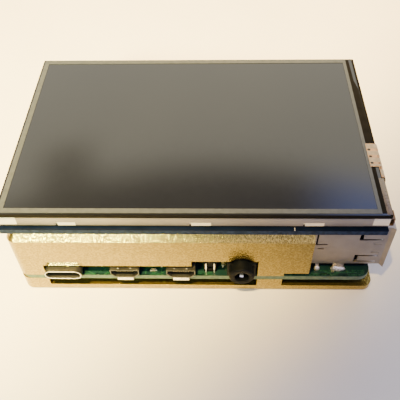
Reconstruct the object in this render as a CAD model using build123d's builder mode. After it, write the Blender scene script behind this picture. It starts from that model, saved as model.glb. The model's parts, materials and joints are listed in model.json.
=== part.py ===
from build123d import *
import os

# A single board computer between a base plate and a heat-sink lid, with a touch display plugged
# on its pin header.  Millimetres.  +Z is up, +X runs along the long side and -Y is the side with
# the power, video and audio ports.  The origin is on the base plate's underside, below the middle
# of the board.

# Main board.  Most places below are measured from its front left corner and its underside.
BOARD_L = 85.0
BOARD_W = 56.0
BOARD_T = 1.4
CORNER_R = 3.0
HOLE_X = 32.5            # middle of the four fixing holes
HOLE_PITCH_X = 58.0
HOLE_PITCH_Y = 49.0
PITCH = 2.54             # pin header pitch
PIN = 0.64               # square pins
PLATED_HOLE = 0.51       # radius of the holes that the pins are soldered in

# Case
BASE_H = 4.7             # underside of the plate to underside of the board
BASE_L = 86.2            # the plate reaches a little past the board under the data ports
FLOOR_T = 2.0
WALL = 2.0
CASE_R = 2.2
LID_L = 70.1
LID_TOP = 16.6
LID_ROOF = 12.1
LID_BEVEL = 2.0
FIN_TOP = 15.0
FIN_ROOT = 13.0
POST_LEFT = 6.6          # the front left post ends here
POST_MID = (57.9, 64.2)  # the other front post
POST_BACK = 6.8          # depth of both front posts
POST_GAP = 0.3           # the base plate's posts stand this much wider
BASE_REAR = (48.0, 49.0, 54.6)  # the base's rear wall: its pocket's front, inner face and the pocket's back
CARD_GAP = (20.5, 35.5)  # opening in the base's left wall for the memory card
LAND = (20.0, 39.0, 24.0, 41.0)  # raised part of the base under the processor
LAND_TOP = -1.2
FIN_FIELD = (9.0, 62.0, 6.0, 44.0)
FIN_PITCH = 4.0
FIN_GAP = 2.2
PORT_TOP = 5.3           # top of the long port opening
NOTCH_TOP = 7.3          # top of its deeper right part
NOTCH_X = 42.1
HEADER_BAY = (6.8, 58.2, 49.4)
JACK_BAY = (64.6, 36.9)
SCREW_R = 1.25
SCREW_HEAD_R = 2.25
SCREW_HEAD = (0.15, 1.75)  # heights of the head's two faces above the table
SCREW_TOP = 8.0
SCREW_KEY = 2.0          # across the flats of the key's socket
CLEAR = 0.1              # how far a cutting tool runs past the face it opens

# Chips: x0, x1, y0, y1, and the height of the top above the board's underside
PROCESSOR = (22.5, 36.0, 25.75, 39.25)
PROCESSOR_TOP = 3.8
CARRIER_T = 1.0
MEMORY = (38.75, 48.25, 25.3, 39.7)
CONTROLLER = (55.2, 62.8, 18.2, 25.8)
NETWORK = (54.0, 60.5, 39.0, 45.5)
CHIP_TOP = 2.3
PAD_T = 0.5              # thermal pad on a chip

# Ports on the front and right edges
POWER_X = 11.2
VIDEO_X = (26.0, 39.5)
CAMERA_X = 46.5
AUDIO_X = 54.0
AUDIO_Z = 4.4
AUDIO_BARREL_R = 3.0
AUDIO_OUT = 2.4          # how far the barrel stands out of the board
AUDIO_BORE_R = 1.75
STACK_Y = (9.0, 27.0)
STACK_X = (70.5, 87.8)
STACK_W = 13.1
STACK_TOP = 17.4
NET_Y = 45.75
NET_W = 16.0
NET_X = (65.4, 86.7)
NET_TOP = 14.9

# Display
DISP_Z = 17.95           # underside of the display board
DISP_T = 1.3
TRAY_Z = 19.85           # underside of the steel tray
TRAY_TOP = 22.35
GLASS_Z = 22.77          # underside of the touch glass
TOUCH_X = (0.0, 85.4)
TOUCH_Y = (0.58, 56.1)
TOUCH_TOP = 23.87
BORDER_OUT = (0.55, 83.1, 1.09, 55.75)
BORDER_IN = (1.7, 82.3, 2.34, 54.3)
SKIN = 0.1               # thickness of the film and of the printed border
SHEET = 0.3              # sheet metal
SOCKET_WAYS = 13

X0 = -BOARD_L / 2        # the board's left edge
Y0 = -BOARD_W / 2        # the board's front edge
Z0 = BASE_H              # the board's underside


def block(x0, x1, y0, y1, z0, z1, mode=Mode.ADD):
    """A box between two corners, measured from the board's front left corner and underside."""
    with Locations((X0 + (x0 + x1) / 2, Y0 + (y0 + y1) / 2, Z0 + (z0 + z1) / 2)):
        Box(x1 - x0, y1 - y0, z1 - z0, mode=mode)


def pins(x, y, ways, rows, z0, z1, size=PIN, mode=Mode.ADD):
    """A grid of square pins or holes whose first pin stands at x, y."""
    middle = (X0 + x + (ways - 1) * PITCH / 2, Y0 + y + (rows - 1) * PITCH / 2)
    with Locations((middle[0], middle[1], Z0 + (z0 + z1) / 2)):
        with GridLocations(PITCH, PITCH, ways, rows):
            Box(size, size, z1 - z0, mode=mode)


def fixing_holes(radius, z0, z1, mode=Mode.SUBTRACT):
    """The board's pattern of four holes, or the pegs that fill them."""
    with Locations((X0 + HOLE_X, 0, Z0 + (z0 + z1) / 2)):
        with GridLocations(HOLE_PITCH_X, HOLE_PITCH_Y, 2, 2):
            Cylinder(radius, z1 - z0, mode=mode)


os.makedirs("parts", exist_ok=True)

# ---------------------------------------------------------------- case

with BuildPart() as base_plate:
    block(0, BASE_L, 0, BOARD_W, -BASE_H, 0)
    fillet(base_plate.edges().filter_by(Axis.Z), CASE_R)
    # everything above the floor goes, except the posts, the left wall and the rear wall
    inside = FLOOR_T - BASE_H
    left = POST_LEFT + POST_GAP
    front = POST_BACK + 0.2
    block(left, POST_MID[0], -1, front, inside, CLEAR, Mode.SUBTRACT)
    block(POST_MID[1] - 0.2, BASE_L + 1, -1, BOARD_W + 1, inside, CLEAR, Mode.SUBTRACT)
    block(WALL, POST_MID[1], front, BASE_REAR[1], inside, CLEAR, Mode.SUBTRACT)
    block(left, POST_MID[0], BASE_REAR[0], BASE_REAR[2], inside, CLEAR, Mode.SUBTRACT)
    block(-1, WALL + 1, CARD_GAP[0], CARD_GAP[1], inside, CLEAR, Mode.SUBTRACT)
    # raised land that carries heat from under the processor
    block(*LAND, inside, LAND_TOP)
    fixing_holes(SCREW_R + 0.2, -BASE_H, CLEAR)
    fixing_holes(SCREW_HEAD_R + 0.15, -BASE_H - 1, SCREW_HEAD[1] + 0.05 - BASE_H)
    chamfer(base_plate.faces().sort_by(Axis.Z)[0].outer_wire().edges(), 0.4)
base_plate.part.label = "base_plate"
export_step(base_plate.part, "parts/base_plate.step")

with BuildPart() as heat_sink_lid:
    with BuildSketch(Plane.XY.offset(Z0 + BOARD_T)):
        with BuildLine():
            Polyline(
                (X0, Y0),
                (X0 + LID_L, Y0),
                (X0 + LID_L, Y0 + JACK_BAY[1]),
                (X0 + JACK_BAY[0], Y0 + JACK_BAY[1]),
                (X0 + JACK_BAY[0], Y0 + BOARD_W),
                (X0, Y0 + BOARD_W),
                close=True,
            )
        make_face()
    extrude(amount=LID_TOP - BOARD_T)
    fillet(heat_sink_lid.edges().filter_by(Axis.Z).group_by(Axis.X)[0], CASE_R)
    lid_rim = heat_sink_lid.faces().sort_by(Axis.Z)[-1].edges()
    chamfer(lid_rim.filter_by(lambda edge: edge.center().X < X0 + 0.9 * JACK_BAY[0]), LID_BEVEL)
    # hollow round the parts on the board, leaving the two front posts
    with BuildSketch(Plane.XY.offset(Z0 + BOARD_T)):
        with BuildLine():
            Polyline(
                (X0 + WALL, Y0 + POST_BACK),
                (X0 + POST_LEFT, Y0 + POST_BACK),
                (X0 + POST_LEFT, Y0 + WALL),
                (X0 + POST_MID[0], Y0 + WALL),
                (X0 + POST_MID[0], Y0 + POST_BACK),
                (X0 + POST_MID[1], Y0 + POST_BACK),
                (X0 + POST_MID[1], Y0 + WALL),
                (X0 + LID_L - WALL, Y0 + WALL),
                (X0 + LID_L - WALL, Y0 + JACK_BAY[1] - WALL),
                (X0 + JACK_BAY[0] - WALL, Y0 + JACK_BAY[1] - WALL),
                (X0 + JACK_BAY[0] - WALL, Y0 + HEADER_BAY[2] - WALL),
                (X0 + WALL, Y0 + HEADER_BAY[2] - WALL),
                close=True,
            )
        make_face()
    extrude(amount=LID_ROOF - BOARD_T, mode=Mode.SUBTRACT)
    # bay for the pin header, open at the back and the top
    block(HEADER_BAY[0], HEADER_BAY[1], HEADER_BAY[2], BOARD_W + 1, 0, LID_TOP + 1, Mode.SUBTRACT)
    # front openings: the long slot, its deeper right part and the relief round the audio plug
    block(POST_LEFT, POST_MID[0], -1, WALL + 0.1, 0, PORT_TOP, Mode.SUBTRACT)
    block(NOTCH_X, POST_MID[0], -1, WALL + 0.1, 0, NOTCH_TOP, Mode.SUBTRACT)
    with BuildSketch(Plane.XZ.offset(-Y0 - WALL - 0.1)):
        with Locations((X0 + AUDIO_X, Z0 + AUDIO_Z + 0.9)):
            Circle(AUDIO_BARREL_R + 0.3)
    extrude(amount=WALL + 1, mode=Mode.SUBTRACT)
    # groove above the power port
    with BuildSketch(Plane.YZ.offset(X0 + 7.9)):
        with BuildLine():
            Polyline((Y0 - 0.5, Z0 + 4.8), (Y0 + 0.9, Z0 + 6.2), (Y0 - 0.5, Z0 + 6.9), close=True)
        make_face()
    extrude(amount=7.4, mode=Mode.SUBTRACT)
    # the lower edge is higher beside the data ports
    block(POST_MID[1], LID_L + 1, -1, JACK_BAY[1] - WALL, 0, BOARD_T + 1.1, Mode.SUBTRACT)
    # fins, lower than the rim
    block(*FIN_FIELD, FIN_TOP, LID_TOP + 1, Mode.SUBTRACT)
    fin_middle = (X0 + (FIN_FIELD[0] + FIN_FIELD[1]) / 2, Y0 + (FIN_FIELD[2] + FIN_FIELD[3]) / 2)
    with Locations((*fin_middle, Z0 + (FIN_ROOT + FIN_TOP) / 2)):
        with GridLocations(0, FIN_PITCH, 1, 9):
            Box(FIN_FIELD[1] - FIN_FIELD[0], FIN_GAP, FIN_TOP - FIN_ROOT + 0.01, mode=Mode.SUBTRACT)
    # lands that press on the hot chips
    block(21.5, 37.0, 24.7, 40.3, PROCESSOR_TOP + PAD_T, LID_ROOF)
    block(38.5, 48.5, 25.3, 39.7, CHIP_TOP + PAD_T, LID_ROOF)
    block(55.0, 63.0, 18.0, 26.0, CHIP_TOP + PAD_T, LID_ROOF)
    fixing_holes(SCREW_R + 0.03, 0, SCREW_TOP + 1)
heat_sink_lid.part.label = "heat_sink_lid"
export_step(heat_sink_lid.part, "parts/heat_sink_lid.step")

with BuildPart() as case_screws:
    fixing_holes(SCREW_HEAD_R, SCREW_HEAD[0] - BASE_H, SCREW_HEAD[1] - BASE_H, Mode.ADD)
    fixing_holes(SCREW_R, SCREW_HEAD[1] - BASE_H, SCREW_TOP, Mode.ADD)
    with BuildSketch(Plane.XY.offset(SCREW_HEAD[0])):
        with Locations((X0 + HOLE_X, 0)):
            with GridLocations(HOLE_PITCH_X, HOLE_PITCH_Y, 2, 2):
                RegularPolygon(SCREW_KEY / 2, 6, major_radius=False)
    extrude(amount=1.1, mode=Mode.SUBTRACT)
case_screws.part.label = "case_screws"
export_step(case_screws.part, "parts/case_screws.step")

with BuildPart() as thermal_pads:
    block(22.5, 36.0, 26.0, 39.0, PROCESSOR_TOP, PROCESSOR_TOP + PAD_T)
    block(39.0, 48.0, 26.0, 39.0, CHIP_TOP, CHIP_TOP + PAD_T)
    block(55.5, 62.5, 18.5, 25.5, CHIP_TOP, CHIP_TOP + PAD_T)
    block(LAND[0] + 1, LAND[1] - 1, LAND[2] + 1, LAND[3] - 1, LAND_TOP, 0)
thermal_pads.part.label = "thermal_pads"
export_step(thermal_pads.part, "parts/thermal_pads.step")

# ---------------------------------------------------------------- main board and its chips

with BuildPart() as main_board:
    with BuildSketch(Plane.XY.offset(Z0)):
        RectangleRounded(BOARD_L, BOARD_W, CORNER_R)
        with Locations((X0 + HOLE_X, 0)):
            with GridLocations(HOLE_PITCH_X, HOLE_PITCH_Y, 2, 2):
                Circle(1.35, mode=Mode.SUBTRACT)
        with Locations((X0 + HOLE_X, Y0 + 52.5)):
            with GridLocations(PITCH, PITCH, 20, 2):
                Circle(PLATED_HOLE, mode=Mode.SUBTRACT)
    extrude(amount=BOARD_T)
main_board.part.label = "main_board"
export_step(main_board.part, "parts/main_board.step")

with BuildPart() as processor_carrier:
    block(PROCESSOR[0] - 0.75, PROCESSOR[1] + 0.75, PROCESSOR[2] - 0.75, PROCESSOR[3] + 0.75,
          BOARD_T, BOARD_T + CARRIER_T)
processor_carrier.part.label = "processor_carrier"
export_step(processor_carrier.part, "parts/processor_carrier.step")

with BuildPart() as processor_cap:
    block(*PROCESSOR, BOARD_T + CARRIER_T, PROCESSOR_TOP)
    chamfer(processor_cap.faces().sort_by(Axis.Z)[-1].edges(), 0.3)
processor_cap.part.label = "processor_cap"
export_step(processor_cap.part, "parts/processor_cap.step")

with BuildPart() as memory_chip:
    block(*MEMORY, BOARD_T, CHIP_TOP)
memory_chip.part.label = "memory_chip"
export_step(memory_chip.part, "parts/memory_chip.step")

with BuildPart() as port_controller_chip:
    block(*CONTROLLER, BOARD_T, CHIP_TOP)
port_controller_chip.part.label = "port_controller_chip"
export_step(port_controller_chip.part, "parts/port_controller_chip.step")

with BuildPart() as network_chip:
    block(*NETWORK, BOARD_T, CHIP_TOP)
network_chip.part.label = "network_chip"
export_step(network_chip.part, "parts/network_chip.step")

with BuildPart() as power_chip:
    block(9.5, 14.5, 10.5, 15.5, BOARD_T, 2.2)
power_chip.part.label = "power_chip"
export_step(power_chip.part, "parts/power_chip.step")

with BuildPart() as wireless_can:
    block(6.6, 18.6, 36.0, 46.0, BOARD_T, 3.2)
    fillet(wireless_can.edges().filter_by(Axis.Z), 1.0)
    block(8.0, 17.2, 37.4, 44.6, 3.2, 3.4)
wireless_can.part.label = "wireless_can"
export_step(wireless_can.part, "parts/wireless_can.step")

with BuildPart() as inductors:
    for x, y in ((16.5, 10.0), (16.5, 14.0), (21.0, 10.0), (50.5, 26.0), (50.5, 30.0)):
        block(x, x + 3.0, y, y + 3.0, BOARD_T, BOARD_T + 1.6)
    fillet(inductors.edges().filter_by(Axis.Z), 0.6)
inductors.part.label = "inductors"
export_step(inductors.part, "parts/inductors.step")

with BuildPart() as board_passives:
    # rows of small parts: between the ports, and round the chips
    for x, y, columns, rows in (
        (20.0, 5.3, 3, 2),
        (34.0, 5.3, 3, 2),
        (21.0, 19.5, 8, 2),
        (29.0, 15.0, 5, 2),
        (61.0, 10.4, 3, 2),
        (41.0, 43.5, 5, 2),
        (24.9, 43.5, 6, 2),
        (59.0, 30.0, 3, 2),
    ):
        with Locations((X0 + x, Y0 + y, Z0 + BOARD_T + 0.25)):
            with GridLocations(1.9, 1.7, columns, rows):
                Box(1.0, 0.6, 0.5)
board_passives.part.label = "board_passives"
export_step(board_passives.part, "parts/board_passives.step")

# ---------------------------------------------------------------- memory card under the left edge

with BuildPart() as card_socket:
    block(1.4, 14.6, 21.6, 34.4, -1.6, 0)
    block(1.0, 12.8, 22.4, 33.6, -1.3, -0.4, Mode.SUBTRACT)
    block(1.0, 4.4, 24.4, 31.6, -2.0, -0.4, Mode.SUBTRACT)
card_socket.part.label = "card_socket"
export_step(card_socket.part, "parts/card_socket.step")

with BuildPart() as memory_card:
    with BuildSketch(Plane.XY.offset(Z0 - 1.2)):
        with BuildLine():
            Polyline(
                (X0 - 2.4, Y0 + 22.5),
                (X0 + 5.6, Y0 + 22.5),
                (X0 + 6.6, Y0 + 23.8),
                (X0 + 12.6, Y0 + 23.8),
                (X0 + 12.6, Y0 + 33.5),
                (X0 - 2.4, Y0 + 33.5),
                close=True,
            )
        make_face()
        fillet(vertices().group_by(Axis.X)[0], 0.8)
    extrude(amount=0.7)
    block(-2.4, -1.7, 24.0, 32.0, -0.5, -0.3)
memory_card.part.label = "memory_card"
export_step(memory_card.part, "parts/memory_card.step")

# ---------------------------------------------------------------- front ports

POWER_W = 8.94
POWER_H = 3.06
POWER_SHEET = 0.25
POWER_DEPTH = 6.2        # behind the board's edge
POWER_OUT = 1.13         # in front of the board's edge
POWER_Z = Z0 + BOARD_T + POWER_H / 2
POWER_PLANE = Plane.XZ.offset(-Y0 - POWER_DEPTH)      # sketches here are extruded towards the front
with BuildPart() as power_port_shell:
    with BuildSketch(POWER_PLANE):
        with Locations((X0 + POWER_X, POWER_Z)):
            RectangleRounded(POWER_W, POWER_H, POWER_H / 2 - 0.03)
    extrude(amount=POWER_DEPTH + POWER_OUT)
    with BuildSketch(POWER_PLANE.offset(0.3)):
        with Locations((X0 + POWER_X, POWER_Z)):
            RectangleRounded(POWER_W - 2 * POWER_SHEET, POWER_H - 2 * POWER_SHEET, POWER_H / 2 - 0.28)
    extrude(amount=10, mode=Mode.SUBTRACT)
power_port_shell.part.label = "power_port_shell"
export_step(power_port_shell.part, "parts/power_port_shell.step")

with BuildPart() as power_port_tongue:
    block(POWER_X - 3.35, POWER_X + 3.35, -0.2, 5.9, BOARD_T + 1.25, BOARD_T + 1.95)
    block(POWER_X - 3.0, POWER_X + 3.0, 4.4, 5.9, BOARD_T + 0.4, BOARD_T + 2.8)
power_port_tongue.part.label = "power_port_tongue"
export_step(power_port_tongue.part, "parts/power_port_tongue.step")

# A video port's mouth is wide at the top and drawn in below.
VIDEO_HALF = (3.45, 2.4)
VIDEO_H = 2.85
VIDEO_OUT = 0.55         # how far the mouth stands out of the board
VIDEO_DEPTH = 6.5        # how far the shell reaches in
VIDEO_SHOULDER = 1.3     # the drawn-in part ends here, above the board
VIDEO_SHEET = 0.2
with BuildPart() as video_port_shells:
    for inset, mode in ((0.0, Mode.ADD), (VIDEO_SHEET, Mode.SUBTRACT)):
        for x in VIDEO_X:
            with BuildSketch(Plane.XZ.offset(-Y0 - VIDEO_DEPTH + inset)):
                with BuildLine():
                    Polyline(
                        (X0 + x - VIDEO_HALF[1] + inset, Z0 + BOARD_T + inset),
                        (X0 + x + VIDEO_HALF[1] - inset, Z0 + BOARD_T + inset),
                        (X0 + x + VIDEO_HALF[0] - inset, Z0 + BOARD_T + VIDEO_SHOULDER),
                        (X0 + x + VIDEO_HALF[0] - inset, Z0 + BOARD_T + VIDEO_H - inset),
                        (X0 + x - VIDEO_HALF[0] + inset, Z0 + BOARD_T + VIDEO_H - inset),
                        (X0 + x - VIDEO_HALF[0] + inset, Z0 + BOARD_T + VIDEO_SHOULDER),
                        close=True,
                    )
                make_face()
            extrude(amount=VIDEO_DEPTH + VIDEO_OUT, mode=mode)
    # the tab that hangs in front of the board's edge
    for x in VIDEO_X:
        block(x - 2.0, x + 2.0, -VIDEO_OUT, 0.25 - VIDEO_OUT, 0.2, BOARD_T + 0.05)
video_port_shells.part.label = "video_port_shells"
export_step(video_port_shells.part, "parts/video_port_shells.step")

with BuildPart() as video_port_tongues:
    for x in VIDEO_X:
        block(x - 2.5, x + 2.5, 0.2, 6.2, BOARD_T + 1.6, BOARD_T + 2.2)
        block(x - 2.5, x + 2.5, 5.0, 6.2, BOARD_T + 1.3, BOARD_T + 2.6)
video_port_tongues.part.label = "video_port_tongues"
export_step(video_port_tongues.part, "parts/video_port_tongues.step")

with BuildPart() as audio_jack_body:
    block(AUDIO_X - 3.4, AUDIO_X + 3.4, 0.0, 12.0, BOARD_T, 6.6)
    with BuildSketch(Plane.XZ.offset(-Y0 - 1.0)):
        with Locations((X0 + AUDIO_X, Z0 + AUDIO_Z)):
            Circle(AUDIO_BARREL_R)
    extrude(amount=1.0 + AUDIO_OUT)
    chamfer(audio_jack_body.faces().sort_by(Axis.Y)[0].edges(), 0.25)
    with BuildSketch(Plane.XZ.offset(-Y0 - 9.6)):
        with Locations((X0 + AUDIO_X, Z0 + AUDIO_Z)):
            Circle(AUDIO_BORE_R)
    extrude(amount=14, mode=Mode.SUBTRACT)
audio_jack_body.part.label = "audio_jack_body"
export_step(audio_jack_body.part, "parts/audio_jack_body.step")

with BuildPart() as audio_jack_contacts:
    for y in (3.0, 6.0, 9.0):
        block(AUDIO_X - 4.0, AUDIO_X - 3.4, y, y + 1.2, BOARD_T, 5.0)
        block(AUDIO_X + 3.4, AUDIO_X + 3.8, y, y + 1.2, BOARD_T, 5.0)
audio_jack_contacts.part.label = "audio_jack_contacts"
export_step(audio_jack_contacts.part, "parts/audio_jack_contacts.step")

# ---------------------------------------------------------------- flex sockets

LATCH_TOP = 6.2
HOUSING_TOP = 5.4
FLEX_HALF = 1.5          # half the housing's width
CONTACTS_X = -0.42       # the row of contacts beside the housing's middle
CONTACT = (0.16, 0.3, 2.2)
# Each is a housing with two end slots, a lift-up latch whose legs run in them, and 15 contacts.
with BuildPart() as camera_socket:
    block(CAMERA_X - FLEX_HALF, CAMERA_X + FLEX_HALF, 1.2, 22.8, BOARD_T, HOUSING_TOP)
    block(CAMERA_X - 0.5, CAMERA_X + 0.5, 1.1, 2.2, 2.2, 5.5, Mode.SUBTRACT)
    block(CAMERA_X - 0.5, CAMERA_X + 0.5, 21.8, 22.9, 2.2, 5.5, Mode.SUBTRACT)
    block(CAMERA_X - 0.5, CAMERA_X + 0.5, 3.6, 20.4, 2.4, 5.5, Mode.SUBTRACT)
camera_socket.part.label = "camera_socket"
export_step(camera_socket.part, "parts/camera_socket.step")

with BuildPart() as camera_latch:
    block(CAMERA_X - FLEX_HALF, CAMERA_X + FLEX_HALF, 1.2, 22.8, HOUSING_TOP, LATCH_TOP)
    block(CAMERA_X - 0.8, CAMERA_X + 0.8, 3.6, 20.4, 5.3, 6.6, Mode.SUBTRACT)
    block(CAMERA_X - 0.45, CAMERA_X + 0.45, 1.25, 2.1, 3.4, 5.6)
    block(CAMERA_X - 0.45, CAMERA_X + 0.45, 21.9, 22.75, 3.4, 5.6)
camera_latch.part.label = "camera_latch"
export_step(camera_latch.part, "parts/camera_latch.step")

with BuildPart() as camera_socket_nails:
    # soldered tabs that hold the housing's front end to the board
    for side in (-1.0, 1.0):
        middle = CAMERA_X + side
        block(middle - 0.16, middle + 0.16, 0.95, 1.2, BOARD_T, 4.9)
camera_socket_nails.part.label = "camera_socket_nails"
export_step(camera_socket_nails.part, "parts/camera_socket_nails.step")

with BuildPart() as camera_contacts:
    with Locations((X0 + CAMERA_X + CONTACTS_X, Y0 + 12.0, Z0 + 3.5)):
        with GridLocations(0, 1.0, 1, 15):
            Box(*CONTACT)
camera_contacts.part.label = "camera_contacts"
export_step(camera_contacts.part, "parts/camera_contacts.step")

PANEL_X = 4.2
with BuildPart() as display_flex_socket:
    block(PANEL_X - FLEX_HALF, PANEL_X + FLEX_HALF, 17.2, 35.4, BOARD_T, HOUSING_TOP)
    block(PANEL_X - 0.5, PANEL_X + 0.5, 17.1, 18.2, 2.2, 5.5, Mode.SUBTRACT)
    block(PANEL_X - 0.5, PANEL_X + 0.5, 34.4, 35.5, 2.2, 5.5, Mode.SUBTRACT)
    block(PANEL_X - 0.5, PANEL_X + 0.5, 18.7, 33.9, 2.4, 5.5, Mode.SUBTRACT)
display_flex_socket.part.label = "display_flex_socket"
export_step(display_flex_socket.part, "parts/display_flex_socket.step")

with BuildPart() as display_flex_latch:
    block(PANEL_X - FLEX_HALF, PANEL_X + FLEX_HALF, 17.2, 35.4, HOUSING_TOP, LATCH_TOP)
    block(PANEL_X - 0.8, PANEL_X + 0.8, 18.7, 33.9, 5.3, 6.6, Mode.SUBTRACT)
    block(PANEL_X - 0.45, PANEL_X + 0.45, 17.25, 18.1, 3.4, 5.6)
    block(PANEL_X - 0.45, PANEL_X + 0.45, 34.5, 35.35, 3.4, 5.6)
display_flex_latch.part.label = "display_flex_latch"
export_step(display_flex_latch.part, "parts/display_flex_latch.step")

with BuildPart() as display_flex_contacts:
    with Locations((X0 + PANEL_X + CONTACTS_X, Y0 + 26.3, Z0 + 3.5)):
        with GridLocations(0, 1.0, 1, 15):
            Box(*CONTACT)
display_flex_contacts.part.label = "display_flex_contacts"
export_step(display_flex_contacts.part, "parts/display_flex_contacts.step")

# ---------------------------------------------------------------- data port stacks

STACK_FOOT = 3.4         # the side sheets stop above the board
FLARE = 0.6
SLOT = 0.5               # gap round a spring finger
MOUTH = 0.9              # length of the flared part
TONGUES = (5.9, 13.2)    # undersides of a stack's two tongues
TONGUE_T = 1.8
FINGERS = (4.1, 12.6)    # lower ends of the spring fingers
FINGER_H = 2.8


def data_stack_shell(y):
    """The sheet-metal shell of one stack: a tube with a flared mouth, slots, fingers and legs."""
    left, right = y - STACK_W / 2, y + STACK_W / 2
    mouth = X0 + STACK_X[1] - MOUTH
    middle = (Y0 + y, Z0 + (STACK_FOOT + STACK_TOP) / 2)
    tall = STACK_TOP - STACK_FOOT
    with BuildPart() as shell:
        block(STACK_X[0], STACK_X[1] - MOUTH, left, right, STACK_FOOT, STACK_TOP)
        with BuildSketch(Plane.YZ.offset(mouth)):
            with Locations(middle):
                Rectangle(STACK_W, tall)
        with BuildSketch(Plane.YZ.offset(mouth + MOUTH)):
            with Locations((middle[0], middle[1] - FLARE / 2)):
                Rectangle(STACK_W + 2 * FLARE, tall + FLARE)
        loft()
        with BuildSketch(Plane.YZ.offset(mouth)):
            with Locations(middle):
                Rectangle(STACK_W - 2 * SHEET, tall - 2 * SHEET)
        with BuildSketch(Plane.YZ.offset(mouth + MOUTH)):
            with Locations((middle[0], middle[1] - FLARE / 2)):
                Rectangle(STACK_W + 2 * FLARE - 2 * SHEET, tall + FLARE - 2 * SHEET)
        loft(mode=Mode.SUBTRACT)
        block(STACK_X[0] + SHEET, STACK_X[1] - MOUTH + 0.01, left + SHEET, right - SHEET,
              STACK_FOOT + SHEET, STACK_TOP - SHEET, Mode.SUBTRACT)
        for side in (left - 0.5, right - SHEET - 0.1):
            edge = side + 0.9
            # L-shaped seam, then the slots that free the two spring fingers
            block(70.9, 71.3, side, edge, 11.1, STACK_TOP - 0.6, Mode.SUBTRACT)
            block(70.9, 73.6, side, edge, 10.75, 11.15, Mode.SUBTRACT)
            block(71.5, 73.0, side, edge, 9.1, 9.5, Mode.SUBTRACT)
            for low in FINGERS:
                block(81.2, 86.0, side, edge, low, low + SLOT, Mode.SUBTRACT)
                block(81.2, 86.0, side, edge, low + FINGER_H - SLOT, low + FINGER_H, Mode.SUBTRACT)
                block(80.6, 81.4, side, edge, low, low + FINGER_H, Mode.SUBTRACT)
            for low in (7.9, 11.1):
                block(84.1, 86.0, side, edge, low, low + 0.3, Mode.SUBTRACT)
        # the core's foot passes through the bottom sheet
        block(71.5, 84.0, left + 1.0, right - 1.0, STACK_FOOT - 0.1, STACK_FOOT + SHEET + 0.1, Mode.SUBTRACT)
        for y0 in (left, right - SHEET):
            block(71.9, 72.7, y0, y0 + SHEET, BOARD_T, STACK_FOOT + 0.1)
            block(76.0, 78.7, y0, y0 + SHEET, BOARD_T, STACK_FOOT + 0.1)
    return shell.part


def data_stack_core(y):
    """The plastic body inside a stack, with a shelf between the ports and a tongue in each."""
    inner = STACK_W / 2 - SHEET
    with BuildPart() as core:
        block(STACK_X[0] + SHEET, 76.5, y - inner, y + inner, STACK_FOOT + SHEET, STACK_TOP - SHEET)
        block(71.5, 84.0, y - inner + 0.7, y + inner - 0.7, BOARD_T, STACK_FOOT + SHEET)
        block(76.0, 86.2, y - inner, y + inner, 9.7, 11.1)
        for low in TONGUES:
            block(76.0, 85.6, y - 5.5, y + 5.5, low, low + TONGUE_T)
    return core.part


for index, stack_y in enumerate(STACK_Y, start=1):
    stack_shell = data_stack_shell(stack_y)
    stack_shell.label = f"data_port_shell_{index}"
    export_step(stack_shell, f"parts/data_port_shell_{index}.step")
    stack_core = data_stack_core(stack_y)
    stack_core.label = f"data_port_core_{index}"
    export_step(stack_core, f"parts/data_port_core_{index}.step")

with BuildPart() as data_port_contacts:
    # four strips on the underside of each tongue
    for y in STACK_Y:
        for low in TONGUES:
            for step in (-3.5, -1.0, 1.0, 3.5):
                block(77.0, 85.2, y + step - 0.5, y + step + 0.5, low - 0.2, low)
data_port_contacts.part.label = "data_port_contacts"
export_step(data_port_contacts.part, "parts/data_port_contacts.step")

# ---------------------------------------------------------------- network jack

with BuildPart() as network_jack_shell:
    block(NET_X[0], NET_X[1], NET_Y - NET_W / 2, NET_Y + NET_W / 2, BOARD_T, NET_TOP)
    block(NET_X[0] + SHEET, NET_X[1] + 1, NET_Y - NET_W / 2 + SHEET, NET_Y + NET_W / 2 - SHEET,
          BOARD_T - 1, NET_TOP - SHEET, Mode.SUBTRACT)
    # spring fingers near the mouth
    for y in (NET_Y - NET_W / 2 - 0.1, NET_Y + NET_W / 2 - SHEET - 0.1):
        block(80.5, 85.5, y, y + SHEET + 0.2, 6.0, 6.4, Mode.SUBTRACT)
        block(80.5, 85.5, y, y + SHEET + 0.2, 9.6, 10.0, Mode.SUBTRACT)
        block(80.5, 80.9, y, y + SHEET + 0.2, 6.0, 10.0, Mode.SUBTRACT)
network_jack_shell.part.label = "network_jack_shell"
export_step(network_jack_shell.part, "parts/network_jack_shell.step")

with BuildPart() as network_jack_insert:
    block(NET_X[0] + SHEET, NET_X[1] - 0.2, NET_Y - NET_W / 2 + SHEET, NET_Y + NET_W / 2 - SHEET,
          BOARD_T, NET_TOP - SHEET)
    # the plug's cavity and the narrower groove below it for the plug's catch
    block(73.5, NET_X[1] + 1, NET_Y - 5.9, NET_Y + 5.9, 5.0, 12.6, Mode.SUBTRACT)
    block(73.5, NET_X[1] + 1, NET_Y - 3.2, NET_Y + 3.2, 2.6, 5.1, Mode.SUBTRACT)
network_jack_insert.part.label = "network_jack_insert"
export_step(network_jack_insert.part, "parts/network_jack_insert.step")

with BuildPart() as network_jack_contacts:
    with Locations((X0 + 77.2, Y0 + NET_Y, Z0 + 12.35)):
        with GridLocations(0, 1.27, 1, 8):
            Box(7.4, 0.45, 0.5)
network_jack_contacts.part.label = "network_jack_contacts"
export_step(network_jack_contacts.part, "parts/network_jack_contacts.step")

# ---------------------------------------------------------------- pin headers

HEAD_X = HOLE_X - 19 * PITCH / 2
HEAD_Y = 52.5 - PITCH / 2
HEAD_TOP = BOARD_T + PITCH
with BuildPart() as header_base:
    block(HEAD_X - PITCH / 2, HEAD_X + 19.5 * PITCH, 49.96, 55.04, BOARD_T, HEAD_TOP)
    pins(HEAD_X, HEAD_Y, 20, 2, BOARD_T - 1, HEAD_TOP + 1, PIN, Mode.SUBTRACT)
header_base.part.label = "header_base"
export_step(header_base.part, "parts/header_base.step")

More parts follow.
